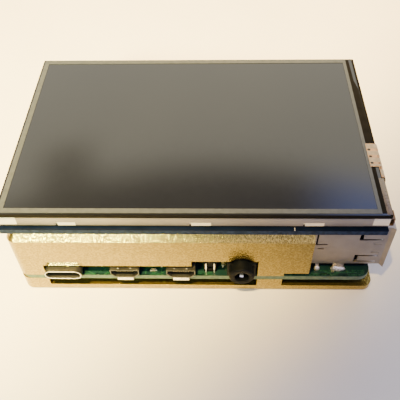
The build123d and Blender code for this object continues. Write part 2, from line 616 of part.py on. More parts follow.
with BuildPart() as header_pins:
    pins(HEAD_X, HEAD_Y, 20, 2, -1.5, BOARD_T + 8.5)
header_pins.part.label = "header_pins"
export_step(header_pins.part, "parts/header_pins.step")

with BuildPart() as aux_header_base:
    block(58.6, 58.6 + 2 * PITCH, 8.9 + 5.0, 8.9 + 5.0 + PITCH, BOARD_T, HEAD_TOP)
    pins(58.6 + PITCH / 2, 13.9 + PITCH / 2, 2, 1, BOARD_T - 1, HEAD_TOP + 1, PIN, Mode.SUBTRACT)
aux_header_base.part.label = "aux_header_base"
export_step(aux_header_base.part, "parts/aux_header_base.step")

with BuildPart() as aux_header_pins:
    pins(58.6 + PITCH / 2, 13.9 + PITCH / 2, 2, 1, BOARD_T, BOARD_T + 8.0)
aux_header_pins.part.label = "aux_header_pins"
export_step(aux_header_pins.part, "parts/aux_header_pins.step")

# ---------------------------------------------------------------- display board

with BuildPart() as display_board:
    with BuildSketch(Plane.XY.offset(Z0 + DISP_Z)):
        with Locations((0.1, 0.0)):
            RectangleRounded(85.4, 56.2, 0.3)
        with Locations((X0 + HEAD_X + 6 * PITCH, Y0 + 52.5)):
            with GridLocations(PITCH, PITCH, SOCKET_WAYS, 2):
                Circle(PLATED_HOLE, mode=Mode.SUBTRACT)
    extrude(amount=DISP_T)
display_board.part.label = "display_board"
export_step(display_board.part, "parts/display_board.step")

with BuildPart() as display_socket:
    block(HEAD_X - PITCH / 2, HEAD_X + 12.5 * PITCH, 49.96, 55.04, HEAD_TOP, DISP_Z)
    pins(HEAD_X, HEAD_Y, SOCKET_WAYS, 2, HEAD_TOP - 1, DISP_Z + 1, PIN, Mode.SUBTRACT)
    pins(HEAD_X, HEAD_Y, SOCKET_WAYS, 2, HEAD_TOP - 1, BOARD_T + 9.0, PIN + 0.3, Mode.SUBTRACT)
display_socket.part.label = "display_socket"
export_step(display_socket.part, "parts/display_socket.step")

with BuildPart() as display_socket_contacts:
    pins(HEAD_X, HEAD_Y, SOCKET_WAYS, 2, BOARD_T + 9.0, DISP_Z + DISP_T + 0.4)
display_socket_contacts.part.label = "display_socket_contacts"
export_step(display_socket_contacts.part, "parts/display_socket_contacts.step")

DISP_CHIP_H = 1.1
with BuildPart() as display_chips:
    for x in (14.0, 28.0, 42.0):
        block(x, x + 6.4, 20.0, 24.4, DISP_Z - DISP_CHIP_H, DISP_Z)
    block(52.0, 57.0, 30.0, 34.0, DISP_Z - DISP_CHIP_H, DISP_Z)
display_chips.part.label = "display_chips"
export_step(display_chips.part, "parts/display_chips.step")

with BuildPart() as display_passives:
    with Locations((X0 + 35.5, Y0 + 15.0, Z0 + DISP_Z - 0.25)):
        with GridLocations(3.8, 2.4, 11, 2):
            Box(1.0, 0.6, 0.5)
display_passives.part.label = "display_passives"
export_step(display_passives.part, "parts/display_passives.step")

with BuildPart() as foam_frame:
    block(1.0, 80.0, 1.1, 48.5, DISP_Z + DISP_T, TRAY_Z)
    block(5.0, 76.0, 5.0, 44.0, DISP_Z + DISP_T - 1, TRAY_Z + 1, Mode.SUBTRACT)
foam_frame.part.label = "foam_frame"
export_step(foam_frame.part, "parts/foam_frame.step")

# ---------------------------------------------------------------- display module

TRAY = (0.1, 85.2, 0.85, 55.85)
CORNER = 4.2             # the white carrier shows at the corners, and at three snaps on each side
SNAPS = ((13.2, 17.1), (42.5, 46.8), (67.2, 71.3))
FLEX_GAP = (26.0, 50.0)  # way out for the panel's flex
GUIDE_TOP = TRAY_Z + 1.2

with BuildPart() as backlight_tray:
    block(TRAY[0], TRAY[1], TRAY[2], TRAY[3], TRAY_Z, TRAY_TOP)
    block(TRAY[0] + SHEET, TRAY[1] - SHEET, TRAY[2] + SHEET, TRAY[3] - SHEET,
          TRAY_Z + SHEET, TRAY_TOP + 1, Mode.SUBTRACT)
    for x0, x1 in ((TRAY[0] - 1, CORNER), (81.7, TRAY[1] + 1)):
        for y0, y1 in ((TRAY[2] - 1, TRAY[2] + CORNER), (TRAY[3] - CORNER, TRAY[3] + 1)):
            block(x0, x1, y0, y1, TRAY_Z + SHEET, TRAY_TOP + 1, Mode.SUBTRACT)
    for x0, x1 in SNAPS:
        for y0, y1 in ((TRAY[2] - 0.1, TRAY[2] + SHEET + 0.05), (TRAY[3] - SHEET - 0.05, TRAY[3] + 0.1)):
            block(x0 - 0.4, x1, y0, y1, TRAY_Z - 0.1, TRAY_Z + 1.0, Mode.SUBTRACT)
    block(TRAY[1] - SHEET - 0.1, TRAY[1] + 0.1, FLEX_GAP[0], FLEX_GAP[1],
          TRAY_Z - 0.1, TRAY_TOP + 1, Mode.SUBTRACT)
backlight_tray.part.label = "backlight_tray"
export_step(backlight_tray.part, "parts/backlight_tray.step")

RIM = 2.2                # width of the white carrier's sides
with BuildPart() as backlight_carrier:
    block(TRAY[0] + SHEET, TRAY[1] - SHEET, TRAY[2] + SHEET, TRAY[3] - SHEET, TRAY_Z + SHEET, TRAY_TOP)
    for x0, x1 in ((TRAY[0], CORNER), (81.7, TRAY[1])):
        for y0, y1 in ((TRAY[2], TRAY[2] + CORNER - 0.05), (TRAY[3] - CORNER + 0.05, TRAY[3])):
            block(x0, x1, y0, y1, TRAY_Z + SHEET, TRAY_TOP)
    for x0, x1 in SNAPS:
        block(x0, x1, TRAY[2], TRAY[2] + SHEET, TRAY_Z, TRAY_Z + 0.95)
        block(x0, x1, TRAY[3] - SHEET, TRAY[3], TRAY_Z, TRAY_Z + 0.95)
    block(TRAY[0] + RIM, TRAY[1] - RIM, TRAY[2] + RIM, TRAY[3] - RIM, TRAY_Z, TRAY_TOP + 1, Mode.SUBTRACT)
    block(TRAY[1] - RIM - 1, TRAY[1] + 1, FLEX_GAP[0], FLEX_GAP[1], GUIDE_TOP, TRAY_TOP + 1, Mode.SUBTRACT)
backlight_carrier.part.label = "backlight_carrier"
export_step(backlight_carrier.part, "parts/backlight_carrier.step")

with BuildPart() as light_guide:
    block(TRAY[0] + RIM, TRAY[1] - RIM, TRAY[2] + RIM, TRAY[3] - RIM, TRAY_Z + SHEET, GUIDE_TOP)
light_guide.part.label = "light_guide"
export_step(light_guide.part, "parts/light_guide.step")

with BuildPart() as panel_glass:
    block(TRAY[0] + RIM, TRAY[1] - RIM, TRAY[2] + RIM, TRAY[3] - RIM, GUIDE_TOP, TRAY_TOP)
panel_glass.part.label = "panel_glass"
export_step(panel_glass.part, "parts/panel_glass.step")

BED = DISP_Z + DISP_T     # the display board's top face
with BuildPart() as panel_flex:
    # leaves the glass, folds round the tray's edge and lies on the display board
    with BuildSketch(Plane.XZ.offset(-Y0 - 49.0)):
        with BuildLine():
            Polyline(
                (X0 + 83.0, Z0 + 21.9),
                (X0 + 85.1, Z0 + 21.9),
                (X0 + 85.5, Z0 + 21.5),
                (X0 + 85.5, Z0 + BED + 0.45),
                (X0 + 85.05, Z0 + BED),
                (X0 + 80.5, Z0 + BED),
                (X0 + 80.5, Z0 + BED + 0.13),
                (X0 + 84.95, Z0 + BED + 0.13),
                (X0 + 85.37, Z0 + BED + 0.55),
                (X0 + 85.37, Z0 + 21.4),
                (X0 + 85.0, Z0 + 21.77),
                (X0 + 83.0, Z0 + 21.77),
                close=True,
            )
        make_face()
    extrude(amount=22.0)
panel_flex.part.label = "panel_flex"
export_step(panel_flex.part, "parts/panel_flex.step")

with BuildPart() as backlight_flex:
    # small folded tail of the lamps, beside the front right corner
    block(85.2, 86.2, 0.9, 3.4, 20.0, 20.15)
    block(86.05, 86.2, 0.9, 3.4, 20.0, 22.3)
    block(85.2, 86.2, 0.9, 3.4, 22.15, 22.3)
backlight_flex.part.label = "backlight_flex"
export_step(backlight_flex.part, "parts/backlight_flex.step")

with BuildPart() as panel_tape:
    block(0.5, 84.9, 1.0, 55.7, TRAY_TOP, GLASS_Z)
    block(4.0, 81.0, 4.5, 52.0, TRAY_TOP - 1, TRAY_TOP + 1, Mode.SUBTRACT)
panel_tape.part.label = "panel_tape"
export_step(panel_tape.part, "parts/panel_tape.step")

FILM_TOP = TOUCH_TOP - SKIN
with BuildPart() as touch_glass:
    block(TOUCH_X[0], TOUCH_X[1], TOUCH_Y[0], TOUCH_Y[1], GLASS_Z, FILM_TOP - SKIN)
    fillet(touch_glass.edges().filter_by(Axis.Z), 0.3)
touch_glass.part.label = "touch_glass"
export_step(touch_glass.part, "parts/touch_glass.step")

with BuildPart() as touch_film:
    block(0.25, 84.75, TOUCH_Y[0] + 0.1, TOUCH_Y[1] - 0.1, FILM_TOP - SKIN, FILM_TOP)
touch_film.part.label = "touch_film"
export_step(touch_film.part, "parts/touch_film.step")

with BuildPart() as touch_border:
    block(*BORDER_OUT, FILM_TOP, TOUCH_TOP)
    block(*BORDER_IN, FILM_TOP - 1, TOUCH_TOP + 1, Mode.SUBTRACT)
touch_border.part.label = "touch_border"
export_step(touch_border.part, "parts/touch_border.step")

with BuildPart() as touch_tail:
    # lies on the film's edge, bulges past the glass and folds down to the display board
    with BuildSketch(Plane.XZ.offset(-Y0 - 22.4)):
        with BuildLine():
            Polyline(
                (X0 + 83.3, Z0 + 23.77),
                (X0 + 83.3, Z0 + 23.87),
                (X0 + 85.55, Z0 + 23.87),
                (X0 + 86.0, Z0 + 23.35),
                (X0 + 86.1, Z0 + 22.4),
                (X0 + 85.9, Z0 + BED + 0.4),
                (X0 + 85.3, Z0 + BED),
                (X0 + 82.0, Z0 + BED),
                (X0 + 82.0, Z0 + BED + 0.12),
                (X0 + 85.2, Z0 + BED + 0.12),
                (X0 + 85.75, Z0 + BED + 0.5),
                (X0 + 85.95, Z0 + 22.4),
                (X0 + 85.85, Z0 + 23.3),
                (X0 + 85.5, Z0 + 23.77),
                close=True,
            )
        make_face()
    extrude(amount=10.8)
touch_tail.part.label = "touch_tail"
export_step(touch_tail.part, "parts/touch_tail.step")
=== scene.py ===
"""Looks for the single board computer: a touch display on a board in a gold heat-sink case.

Added pieces are drawn in millimetres from the main board's front left lower corner, and at() turns their
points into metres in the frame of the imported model.  Lights and floor are placed in that frame, in metres.
"""
import json
import math
import random
from collections import namedtuple

import bmesh
import bpy
from mathutils import Matrix, Vector


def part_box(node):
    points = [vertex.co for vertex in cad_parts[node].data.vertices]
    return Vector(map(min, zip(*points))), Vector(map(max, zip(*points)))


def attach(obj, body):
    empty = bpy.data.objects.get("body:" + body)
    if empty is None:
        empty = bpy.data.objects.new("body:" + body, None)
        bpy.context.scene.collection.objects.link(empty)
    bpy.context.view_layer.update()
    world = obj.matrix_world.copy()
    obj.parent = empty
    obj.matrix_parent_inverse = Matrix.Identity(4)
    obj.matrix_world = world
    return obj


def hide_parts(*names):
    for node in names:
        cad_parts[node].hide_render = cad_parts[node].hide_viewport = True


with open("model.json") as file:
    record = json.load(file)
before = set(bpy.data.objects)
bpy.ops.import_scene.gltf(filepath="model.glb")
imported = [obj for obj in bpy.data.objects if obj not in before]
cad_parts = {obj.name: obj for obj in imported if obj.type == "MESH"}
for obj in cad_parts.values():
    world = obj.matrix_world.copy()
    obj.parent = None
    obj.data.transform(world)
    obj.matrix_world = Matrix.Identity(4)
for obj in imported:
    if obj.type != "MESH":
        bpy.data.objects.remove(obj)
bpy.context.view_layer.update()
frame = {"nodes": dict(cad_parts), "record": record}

MM = 0.001
NODES = frame["nodes"]


# ---------------------------------------------------------------- places taken from the frame

def low(node):
    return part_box(node)[0]


def high(node):
    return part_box(node)[1]


BOARD = low("main_board")            # front left lower corner of the main board
TOP = (high("main_board")[2] - BOARD[2]) / MM    # the main board's top face


def at(x, y, z):
    """A point in metres, from millimetres measured from the board's front left lower corner."""
    return Vector((BOARD[0] + x * MM, BOARD[1] + y * MM, BOARD[2] + z * MM))


class Box(namedtuple("Box", "x0 x1 y0 y1 z0 z1")):
    """The space that a node fills, in millimetres from the board's corner."""

    @property
    def mid_x(self):
        return (self.x0 + self.x1) / 2

    @property
    def mid_y(self):
        return (self.y0 + self.y1) / 2

    @property
    def mid_z(self):
        return (self.z0 + self.z1) / 2


def from_board(node):
    a, b = (low(node) - BOARD) / MM, (high(node) - BOARD) / MM
    return Box(a.x, b.x, a.y, b.y, a.z, b.z)


# ---------------------------------------------------------------- camera and lamps

CAMERA_AT = (47.94, -75.72, 117.29)  # from the board's corner, in millimetres
ELEVATION = 49.22
YAW = -2.507
ROLL = -1.764
LENS = 51.08


def make_camera():
    camera_data = bpy.data.cameras.new("camera")
    camera_data.lens = LENS
    camera_data.sensor_width = 36.0
    camera_data.clip_start = 0.005
    camera_data.clip_end = 20.0
    camera = bpy.data.objects.new("camera", camera_data)
    bpy.context.scene.collection.objects.link(camera)
    rise, turn, roll = (math.radians(a) for a in (ELEVATION, YAW, ROLL))
    forward = Vector((math.sin(turn) * math.cos(rise), math.cos(turn) * math.cos(rise), -math.sin(rise)))
    level = Vector((math.cos(turn), -math.sin(turn), 0.0))
    upright = level.cross(forward)
    right = math.cos(roll) * level + math.sin(roll) * upright
    up = -math.sin(roll) * level + math.cos(roll) * upright
    rotation = Matrix((right, up, -forward)).transposed()
    camera.matrix_world = Matrix.Translation(at(*CAMERA_AT)) @ rotation.to_4x4()
    bpy.context.scene.camera = camera


def spot_light(name, place, target, cone, blend, radius, watts, colour):
    data = bpy.data.lights.new(name, "SPOT")
    data.spot_size = math.radians(cone)
    data.spot_blend = blend
    data.shadow_soft_size = radius
    data.energy = watts
    data.color = colour
    light = bpy.data.objects.new(name, data)
    light.location = place
    light.rotation_euler = (Vector(target) - Vector(place)).to_track_quat("-Z", "Y").to_euler()
    bpy.context.scene.collection.objects.link(light)


def make_lights():
    """A warm lamp high up, whose cone's edge dims the table at the right, and a narrow front beam."""
    spot_light(
        "lamp", place=(-0.17, -0.25, 0.80), target=(-0.27, 0.30, 0.0), cone=54.9, blend=0.22, radius=0.03,
        watts=270.0, colour=(1.0, 0.67, 0.19),
    )
    spot_light(
        "window", place=(-0.181, -0.381, 0.287), target=(-0.075, -0.02, 0.02), cone=22.0, blend=0.95,
        radius=0.025, watts=25.0, colour=(0.95, 1.0, 0.36),
    )


# ---------------------------------------------------------------- node graphs

class Graph:
    """A material's node tree with short calls for the nodes that are used most."""

    def __init__(self, name, tree=None):
        if tree is None:
            self.material = bpy.data.materials.new(name)
            self.material.use_nodes = True
            tree = self.material.node_tree
        self.nodes = tree.nodes
        self.links = tree.links
        self.shader = self.nodes.get("Principled BSDF")
        self.place = None

    def feed(self, socket, value):
        if isinstance(value, bpy.types.NodeSocket):
            self.links.new(value, socket)
        else:
            socket.default_value = value

    def add(self, kind, **inputs):
        node = self.nodes.new(kind)
        for key, value in inputs.items():
            self.feed(node.inputs[key], value)
        return node

    def coords(self):
        if self.place is None:
            self.place = self.nodes.new("ShaderNodeTexCoord").outputs["Object"]
        return self.place

    def parts(self, vector):
        """The three parts of a vector."""
        return self.add("ShaderNodeSeparateXYZ", Vector=vector).outputs

    def math(self, operation, a, b=0.0):
        node = self.nodes.new("ShaderNodeMath")
        node.operation = operation
        for socket, value in zip(node.inputs, (a, b)):
            self.feed(socket, value)
        return node.outputs[0]

    def product(self, first, *others):
        for other in others:
            first = self.math("MULTIPLY", first, other)
        return first

    def noise(self, scale, detail=3.0, rough=0.5, vector=None):
        node = self.add("ShaderNodeTexNoise", Scale=scale, Detail=detail, Roughness=rough)
        self.links.new(vector or self.coords(), node.inputs["Vector"])
        return node.outputs["Fac"]

    def rolled(self, stretch):
        """Fine lines, from noise squeezed by a different amount along each axis."""
        mapping = self.add("ShaderNodeMapping", Vector=self.coords(), Scale=stretch)
        return self.noise(1.0, 4.0, 0.6, mapping.outputs[0])

    def cells(self, scale, feature="F1"):
        node = self.add("ShaderNodeTexVoronoi", Vector=self.coords(), Scale=scale)
        node.feature = feature
        return node.outputs["Distance"]

    def ramp(self, value, start, dark, stop, light):
        """The dark colour up to start and the light colour from stop on."""
        node = self.nodes.new("ShaderNodeValToRGB")
        self.feed(node.inputs[0], value)
        elements = node.color_ramp.elements
        for element, position, colour in zip(elements, (start, stop), (dark, light)):
            element.position = position
            element.color = (*colour, 1.0)
        return node.outputs["Color"]

    def range(self, value, a, b, to_a=0.0, to_b=1.0, smooth=False):
        node = self.nodes.new("ShaderNodeMapRange")
        if smooth:
            node.interpolation_type = "SMOOTHSTEP"
        for socket, number in zip(node.inputs[:5], (value, a, b, to_a, to_b)):
            self.feed(socket, number)
        return node.outputs[0]

    def grow(self, value, start, stop):
        """0 up to start, 1 from stop on, and a smooth step between."""
        return self.range(value, start, stop, smooth=True)

    def fade(self, value, start, stop):
        """1 up to start, 0 from stop on, and a smooth step between."""
        return self.range(value, start, stop, 1.0, 0.0, smooth=True)

    def mix(self, factor, a, b):
        node = self.nodes.new("ShaderNodeMix")
        node.data_type = "RGBA"
        self.feed(node.inputs[0], factor)
        for socket, value in ((node.inputs[6], a), (node.inputs[7], b)):
            self.feed(socket, (*value, 1.0) if isinstance(value, tuple) else value)
        return node.outputs[2]

    def bump(self, height, distance, strength=1.0):
        """Adds a bump on top of any that the shader already has."""
        node = self.add("ShaderNodeBump", Strength=strength, Distance=distance, Height=height)
        normal = self.shader.inputs["Normal"]
        if normal.links:
            self.links.new(normal.links[0].from_socket, node.inputs["Normal"])
        self.links.new(node.outputs[0], normal)

    def set(self, **inputs):
        for key, value in inputs.items():
            self.feed(self.shader.inputs[key.replace("_", " ")], value)


ROUGH_SPREAD = 0.08                  # how far a speckled finish's roughness wanders to each side


def speckled(name, dark, light, scale, rough, metal=0.0, grain=0.0, grain_scale=4000.0, **extra):
    """A finish whose colour and roughness wander between two limits; grain is its bump depth in metres."""
    graph = Graph(name)
    broad = graph.noise(scale, 4.0, 0.6)
    fine = graph.noise(scale * 3.7, 3.0)
    graph.set(
        Base_Color=graph.ramp(broad, 0.3, dark, 0.7, light),
        Metallic=metal,
        Roughness=graph.range(fine, 0.3, 0.7, rough - ROUGH_SPREAD, rough + ROUGH_SPREAD),
        **extra,
    )
    if grain:
        graph.bump(graph.noise(grain_scale, 2.0), grain)
    return graph


# ---------------------------------------------------------------- materials of the case and boards

def gold_anodised():
    """Blasted and anodised aluminium: fine grains that catch the light one by one."""
    graph = Graph("gold_anodised")
    tint = graph.ramp(graph.noise(90.0, 4.0, 0.6), 0.3, (0.170, 0.124, 0.030), 0.7, (0.202, 0.148, 0.038))
    grains = graph.cells(2500.0)
    graph.set(
        Base_Color=graph.mix(graph.range(grains, 0.15, 0.75, 0.0, 0.5), tint, (0.52, 0.41, 0.11)),
        Metallic=0.92,
        Roughness=graph.range(graph.noise(2600.0, 2.0), 0.35, 0.65, 0.19, 0.27),
    )
    graph.bump(graph.noise(3600.0, 3.0, 0.65), 0.000016, 0.8)
    graph.bump(grains, 0.00006, 0.8)
    return graph


def black_steel():
    return speckled("black_steel", (0.03, 0.03, 0.03), (0.06, 0.058, 0.055), 300.0, 0.38, metal=0.9,
                    grain=0.00001)


def silicone_pad():
    return speckled("silicone_pad", (0.36, 0.41, 0.47), (0.46, 0.51, 0.57), 400.0, 0.75, grain=0.00003)


def flat_share(graph):
    """1 where a board's face looks up or down, 0 on its sawn edges."""
    normal = graph.nodes.new("ShaderNodeNewGeometry").outputs["Normal"]
    return graph.range(graph.math("ABSOLUTE", graph.parts(normal)[2]), 0.4, 0.6)


def green_board():
    """Solder mask over woven glass, with a bare laminate edge."""
    graph = Graph("green_board")
    cloud = graph.range(graph.noise(150.0, 4.0), 0.3, 0.7)
    mask = graph.mix(cloud, (0.003, 0.0165, 0.0195), (0.006, 0.0285, 0.0315))
    edge = graph.ramp(graph.noise(900.0), 0.35, (0.062, 0.098, 0.072), 0.65, (0.096, 0.150, 0.110))
    flat = flat_share(graph)
    graph.set(
        Base_Color=graph.mix(flat, edge, mask),
        Roughness=graph.range(flat, 0.0, 1.0, 0.6, 0.3),
        Specular_IOR_Level=0.3,
    )
    graph.bump(graph.cells(900.0, "SMOOTH_F1"), 0.00002, 0.4)
    return graph


def blue_board():
    """Dark blue solder mask above and below, grey-blue sawn laminate at the edge."""
    graph = Graph("blue_board")
    cloud = graph.noise(240.0, 4.0)
    mask = graph.ramp(cloud, 0.35, (0.0014, 0.0041, 0.0159), 0.65, (0.0026, 0.0065, 0.0247))
    layers = graph.noise(1200.0, 3.0)
    edge = graph.ramp(layers, 0.35, (0.0094, 0.0167, 0.0377), 0.65, (0.0188, 0.0319, 0.0725))
    flat = flat_share(graph)
    graph.set(
        Base_Color=graph.mix(flat, edge, mask),
        Roughness=graph.range(flat, 0.0, 1.0, 0.62, 0.35),
        Specular_IOR_Level=0.06,
    )
    graph.bump(layers, 0.00002, 0.5)
    return graph


def mask_over_copper():
    return speckled("mask_over_copper", (0.007, 0.048, 0.030), (0.012, 0.070, 0.042), 400.0, 0.3,
                    grain=0.00001)


def blue_over_copper():
    return speckled("blue_over_copper", (0.009, 0.027, 0.0675), (0.015, 0.042, 0.0975), 400.0, 0.32,
                    grain=0.00001)


# ---------------------------------------------------------------- materials of the parts on the boards

def nickel():
    return speckled("nickel", (0.525, 0.512, 0.5), (0.675, 0.663, 0.65), 260.0, 0.3, metal=0.95,
                    grain=0.000008)


def chip_epoxy():
    return speckled("chip_epoxy", (0.018, 0.018, 0.02), (0.035, 0.035, 0.037), 900.0, 0.55, grain=0.00002,
                    grain_scale=9000.0)


def ferrite():
    return speckled("ferrite", (0.10, 0.095, 0.09), (0.17, 0.165, 0.16), 1200.0, 0.6, metal=0.1,
                    grain=0.00003, grain_scale=8000.0)


def ceramic_parts():
    return speckled("ceramic_parts", (0.39, 0.273, 0.156), (0.572, 0.442, 0.286), 1500.0, 0.45, grain=0.00001)


def tin_plate():
    """Tinned sheet: faint rolling lines and cloudy patches."""
    graph = Graph("tin_plate")
    cloud = graph.noise(130.0, 5.0, 0.62)
    graph.set(
        Base_Color=graph.ramp(cloud, 0.3, (0.235, 0.212, 0.190), 0.7, (0.315, 0.285, 0.258)),
        Metallic=0.85,
        Roughness=graph.range(cloud, 0.3, 0.7, 0.44, 0.32),
    )
    graph.bump(graph.rolled((60.0, 900.0, 5200.0)), 0.00001, 0.5)
    return graph


def shade_darkened_plating():
    """Plated sheet of the small front ports, darkened below its own metal's colour as painted shade from the
    lid above them.
    """
    return speckled("shade_darkened_plating", (0.064, 0.0672, 0.0736), (0.12, 0.125, 0.134), 420.0, 0.34, metal=0.85,
                    grain=0.000008)


def black_plastic():
    return speckled("black_plastic", (0.0014, 0.0021, 0.0036), (0.0036, 0.0050, 0.0080), 500.0, 0.5,
                    grain=0.00002, grain_scale=5200.0, Specular_IOR_Level=0.08)


def painted_shade_and_dark_dots():
    """Nearly black, with a faint sheen: painted shade on the sheets inside the front ports, and the dark dots
    on the touch tail.
    """
    return speckled("painted_shade_and_dark_dots", (0.0023, 0.0021, 0.0019), (0.006, 0.0054, 0.0048), 700.0, 0.6,
                    grain=0.00001)


def gold_contact():
    return speckled("gold_contact", (0.76, 0.56, 0.24), (0.86, 0.68, 0.34), 700.0, 0.25, metal=1.0,
                    grain=0.000006)


# bright solder, also used for the painted highlight on the power port's rim and the painted reflection on the
# video ports' tabs
def solder_and_painted_highlights():
    return speckled("solder_and_painted_highlights", (0.80, 0.79, 0.76), (0.95, 0.94, 0.91), 900.0, 0.3, metal=0.85,
                    grain=0.00002, grain_scale=2600.0)


def green_lens():
    return speckled("green_lens", (0.05, 0.34, 0.09), (0.09, 0.46, 0.14), 600.0, 0.22, grain=0.00001,
                    Coat_Weight=0.5)


def amber_lens():
    return speckled("amber_lens", (0.60, 0.26, 0.03), (0.76, 0.38, 0.06), 600.0, 0.22, grain=0.00001,
                    Coat_Weight=0.5)


# ---------------------------------------------------------------- materials of the display

def ivory_plastic():
    return speckled("ivory_plastic", (0.732, 0.673, 0.566), (0.873, 0.814, 0.708), 260.0, 0.42, grain=0.00001)


def black_foam():
    return speckled("black_foam", (0.006, 0.006, 0.006), (0.016, 0.015, 0.014), 900.0, 0.85, grain=0.00006,
                    grain_scale=6000.0)


def tray_steel():
    """Rolled steel with lines along the side and slight tarnish."""
    graph = Graph("tray_steel")
    lines = graph.rolled((40.0, 900.0, 4200.0))
    graph.set(
        Base_Color=graph.ramp(graph.noise(70.0, 4.0), 0.3, (0.256, 0.236, 0.225), 0.7, (0.349, 0.322, 0.31)),
        Metallic=0.7,
        Roughness=graph.range(lines, 0.3, 0.7, 0.36, 0.52),
    )
    graph.bump(lines, 0.00001, 0.6)
    return graph


def clear_guide():
    return speckled("clear_guide", (0.62, 0.64, 0.65), (0.72, 0.74, 0.75), 200.0, 0.2)


def panel_dark():
    """The screen: dark polarised glass under a slightly satin film."""
    graph = Graph("panel_dark")
    cloud = graph.noise(28.0, 3.0)
    graph.set(
        Base_Color=graph.ramp(cloud, 0.3, (0.0039, 0.0045, 0.006), 0.7, (0.0054, 0.0063, 0.0084)),
        Roughness=graph.range(graph.noise(900.0, 2.0), 0.3, 0.7, 0.08, 0.11),
        IOR=1.6,
    )
    graph.bump(graph.noise(5200.0, 2.0), 0.000002, 0.5)
    return graph


def touch_edge():
    return speckled("touch_edge", (0.0051, 0.0046, 0.0041), (0.0087, 0.008, 0.0072), 500.0, 0.5,
                    grain=0.000004, Specular_IOR_Level=0.03)


def bare_glass():
    return speckled("bare_glass", (0.0825, 0.0705, 0.063), (0.12, 0.102, 0.09), 600.0, 0.3, grain=0.000004)


def silver_ink():
    return speckled("silver_ink", (0.050, 0.058, 0.067), (0.072, 0.082, 0.096), 800.0, 0.45, metal=0.3,
                    grain=0.00001, grain_scale=7000.0)


def flex_film():
    return speckled("flex_film", (0.0675, 0.036, 0.018), (0.128, 0.072, 0.036), 500.0, 0.4, grain=0.00001)


def tail_film():
    """Thin amber film of the touch layer's tail."""
    return speckled("tail_film", (0.27, 0.175, 0.105), (0.40, 0.275, 0.175), 700.0, 0.42, grain=0.00001)


def tail_silver():
    return speckled("tail_silver", (0.232, 0.194, 0.139), (0.357, 0.302, 0.225), 900.0, 0.42, metal=0.3,
                    grain=0.00001, grain_scale=7000.0)


MAKERS = (
    gold_anodised, black_steel, silicone_pad, green_board, nickel, chip_epoxy, ferrite, ceramic_parts,
    tin_plate, black_plastic, ivory_plastic, gold_contact, blue_board, black_foam, tray_steel, clear_guide,
    panel_dark, touch_edge, silver_ink, flex_film, solder_and_painted_highlights, shade_darkened_plating, mask_over_copper,
    blue_over_copper, painted_shade_and_dark_dots, tail_film, tail_silver, bare_glass, green_lens, amber_lens,
)
MATERIALS = {}
NODE_FINISH = {                      # nodes whose look differs from that of their material slot
    "camera_socket_nails": "solder_and_painted_highlights",
    # the front ports' shells wear a darkened plating: painted shade
    "power_port_shell": "shade_darkened_plating",
    "video_port_shells": "shade_darkened_plating",
}


def paint_frame():
    """Makes every material and gives each CAD node its finish."""
    for maker in MAKERS:
        MATERIALS[maker.__name__] = maker().material
    for entry in frame["record"]["subparts"]:
        node = NODES[entry["node"]]
        for holder in node.material_slots:
            holder.material = MATERIALS[NODE_FINISH.get(entry["node"], entry["material_slot"])]


# ---------------------------------------------------------------- room

ROOM = (0.44, 0.40, 0.42)
LOW_FRONT = (0.20, 0.18, 0.18)
FRONT_GLOW = (2.3, 2.1, 3.0)
RIGHT_FILL = (0.85, 0.78, 1.25)
BLUE_PATCH = (1.1, 1.35, 2.8)
WALL = (2.5, 2.35, 1.95)
FIGURE_SHADE = 0.25                  # what the figure leaves of the wall's light


def make_world():
    """Soft room light, by direction: side to the right, depth to the back, rise upwards.

    A bright wall stands behind the object, with a dim figure before it and a blue patch to its right.
    The front is dark low down and glows higher up, but for a gap in it.  A soft fill comes from the right.
    """
    world = bpy.data.worlds.new("room")
    world.use_nodes = True
    bpy.context.scene.world = world
    graph = Graph("room", world.node_tree)
    side, depth, rise = graph.parts(graph.nodes.new("ShaderNodeTexCoord").outputs["Generated"])

    front = graph.fade(depth, -0.75, -0.25)
    light = graph.mix(graph.product(front, graph.fade(rise, 0.30, 0.62)), ROOM, LOW_FRONT)
    beside_gap = graph.math("MAXIMUM", graph.fade(side, -0.6, -0.45), graph.grow(side, -0.2, 0.0))
    glow = graph.product(front, graph.grow(rise, 0.42, 0.52), graph.fade(rise, 0.66, 0.76), beside_gap)
    light = graph.mix(glow, light, FRONT_GLOW)
    light = graph.mix(graph.grow(side, 0.35, 0.7), light, RIGHT_FILL)

    behind = graph.grow(depth, 0.2, 0.5)
    light = graph.mix(graph.product(graph.grow(side, 0.12, 0.27), behind), light, BLUE_PATCH)
    across = graph.product(graph.grow(side, -0.34, -0.26), graph.fade(side, -0.255, -0.175))
    figure = graph.product(across, graph.grow(rise, 0.65, 0.69))
    shade = graph.range(figure, 0.0, 1.0, 1.0, FIGURE_SHADE)
    wall = graph.product(behind, graph.fade(rise, 0.69, 0.745), shade)
    graph.feed(graph.nodes["Background"].inputs["Color"], graph.mix(wall, light, WALL))
    graph.feed(graph.nodes["Background"].inputs["Strength"], 1.0)


FLOOR_DROP = 0.0001                  # keeps the floor clear of the base plate's underside


def make_floor():
    place = (0.0, 0.0, -FLOOR_DROP)
    bpy.ops.mesh.primitive_grid_add(x_subdivisions=8, y_subdivisions=8, size=4.0, location=place)
    floor = bpy.context.object
    floor.name = "floor"
    graph = speckled("floor_paper", (0.84, 0.82, 0.79), (0.88, 0.86, 0.83), 30.0, 0.6)
    floor.data.materials.append(graph.material)


# ---------------------------------------------------------------- mesh building

CREASE = math.radians(40.0)          # sharper edges stay sharp on added pieces and are rounded on CAD nodes


def bend(corners, reach, steps=5):
    """The same path with each inner corner turned into a short curve that starts `reach` before it."""
    path = [Vector(corners[0])]
    for before, corner, after in zip(corners, corners[1:], corners[2:]):
        before, corner, after = Vector(before), Vector(corner), Vector(after)
        start = corner + (before - corner).normalized() * min(reach, (before - corner).length / 2)
        end = corner + (after - corner).normalized() * min(reach, (after - corner).length / 2)
        for step in range(steps + 1):
            t = step / steps
            path.append(start.lerp(corner, t).lerp(corner.lerp(end, t), t))
    path.append(Vector(corners[-1]))
    return path


